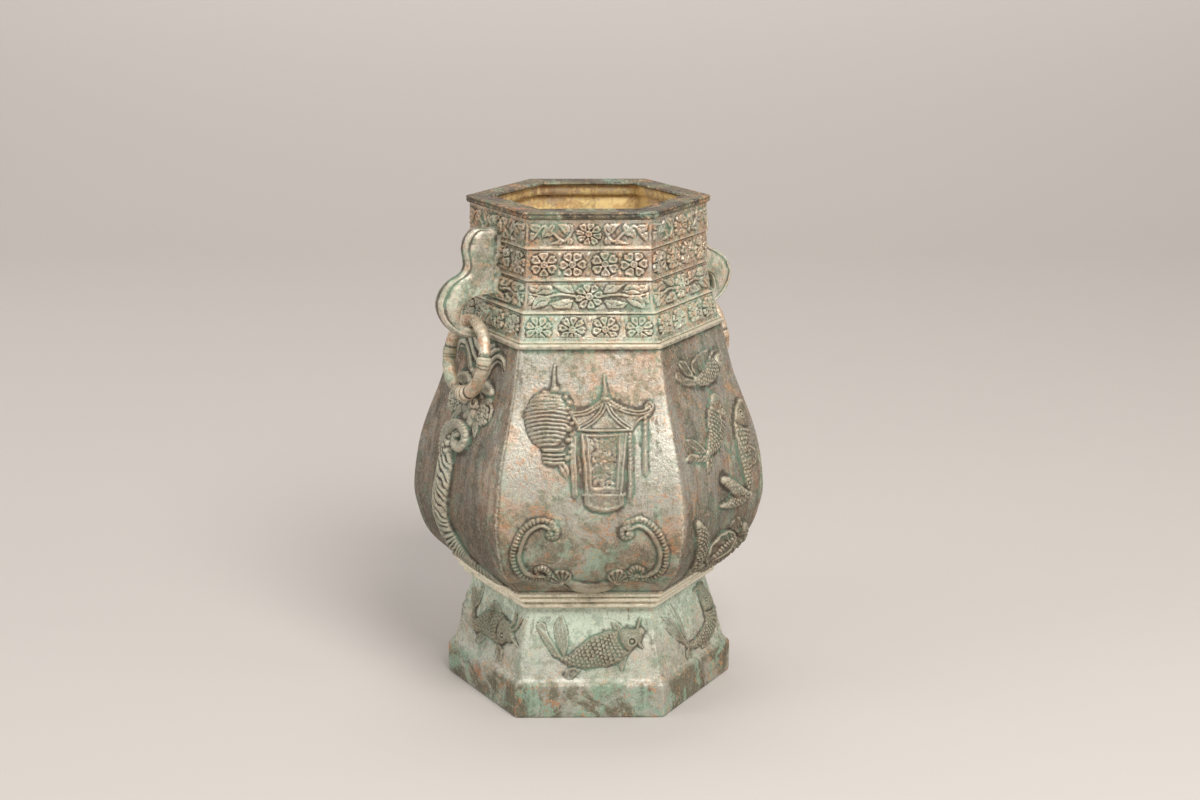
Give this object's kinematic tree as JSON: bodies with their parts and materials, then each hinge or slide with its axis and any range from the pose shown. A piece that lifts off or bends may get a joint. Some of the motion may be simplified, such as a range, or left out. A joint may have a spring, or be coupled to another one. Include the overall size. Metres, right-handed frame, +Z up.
{
  "type": "bronze vase",
  "caption": "Six-sided cast bronze vase: banded neck, pear-shaped belly with reliefs, flared foot, curled trunk handles on opposite faces with loose hanging rings.",
  "frame": {"origin": "centre of the foot's underside", "axes": "+Z up through the mouth; -Y is the front face with the lantern relief; corners of the hexagon lie on +X and -X; handles stand on the faces at 30 and 210 degrees from +X"},
  "size_m": [0.2146, 0.1892, 0.3],
  "materials": {
    "neck_bronze": "worn patinated bronze, dull sheen",
    "belly_bronze": "mottled green and brown patina, dull sheen",
    "foot_bronze": "pale green patina, matt",
    "fitting_bronze": "worn patinated bronze, smooth where handled",
    "inner_bronze": "golden ochre, unworn cast inside"
  },
  "bodies": {
    "vase": {"lip_ring": "neck_bronze", "neck_collar": "neck_bronze", "belly": "belly_bronze", "waist_moulding": "belly_bronze", "base_plate": "inner_bronze", "foot": "foot_bronze", "handle_left": "fitting_bronze", "handle_right": "fitting_bronze", "handle_left_rivet_upper": "inner_bronze", "handle_left_rivet_lower": "inner_bronze", "handle_right_rivet_upper": "inner_bronze", "handle_right_rivet_lower": "inner_bronze"},
    "ring_left": {"ring_left": "fitting_bronze"},
    "ring_right": {"ring_right": "fitting_bronze"}
  },
  "joints": [
    {"name": "ring_left_swing", "type": "hinge", "parent": "vase", "child": "ring_left", "pos_m": [-0.06745, -0.03894, 0.2329], "axis": [-0.5, 0.866, 0], "range_deg": [0, 150]},
    {"name": "ring_right_swing", "type": "hinge", "parent": "vase", "child": "ring_right", "pos_m": [0.06745, 0.03894, 0.2329], "axis": [0.5, -0.866, 0], "range_deg": [0, 150]}
  ]
}
